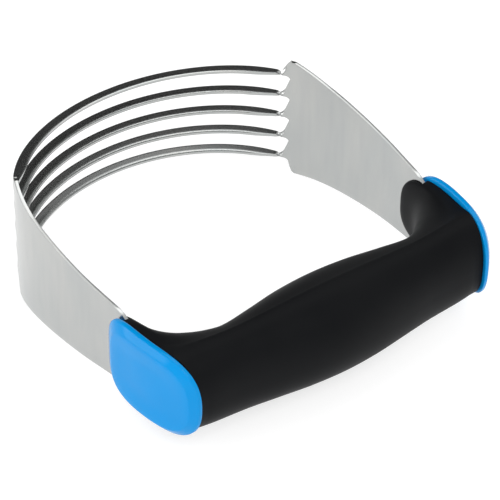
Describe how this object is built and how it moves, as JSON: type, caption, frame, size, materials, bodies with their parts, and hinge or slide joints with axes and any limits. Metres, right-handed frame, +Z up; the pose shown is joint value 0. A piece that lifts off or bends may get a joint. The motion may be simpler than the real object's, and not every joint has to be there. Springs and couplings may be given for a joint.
{
  "type": "pastry blender",
  "caption": "Hand pastry blender: a bow of curved steel blades whose two flat arms hold a soft flared grip closed by gloss end caps.",
  "frame": {"origin": "middle of the footprint as the tool lies on its side, on the plane that its lowest point touches", "axes": "+X along the handle to the right end cap, +Y from the handle towards the blades, +Z up through the stack of blades"},
  "size_m": [0.1156, 0.1244, 0.0417],
  "materials": {
    "stainless_steel": "satin, fine brushing across the arms",
    "black_rubber": "soft matte",
    "core_plastic": "plain moulded",
    "blue_plastic": "gloss moulded",
    "zinc_screw": "zinc plated"
  },
  "bodies": {
    "root": {"blade_frame": "stainless_steel", "handle_core": "core_plastic", "soft_grip": "black_rubber", "end_cap_left": "blue_plastic", "end_cap_right": "blue_plastic", "arm_screw_left_rear": "zinc_screw", "arm_screw_left_front": "zinc_screw", "arm_screw_right_rear": "zinc_screw", "arm_screw_right_front": "zinc_screw"}
  },
  "joints": []
}
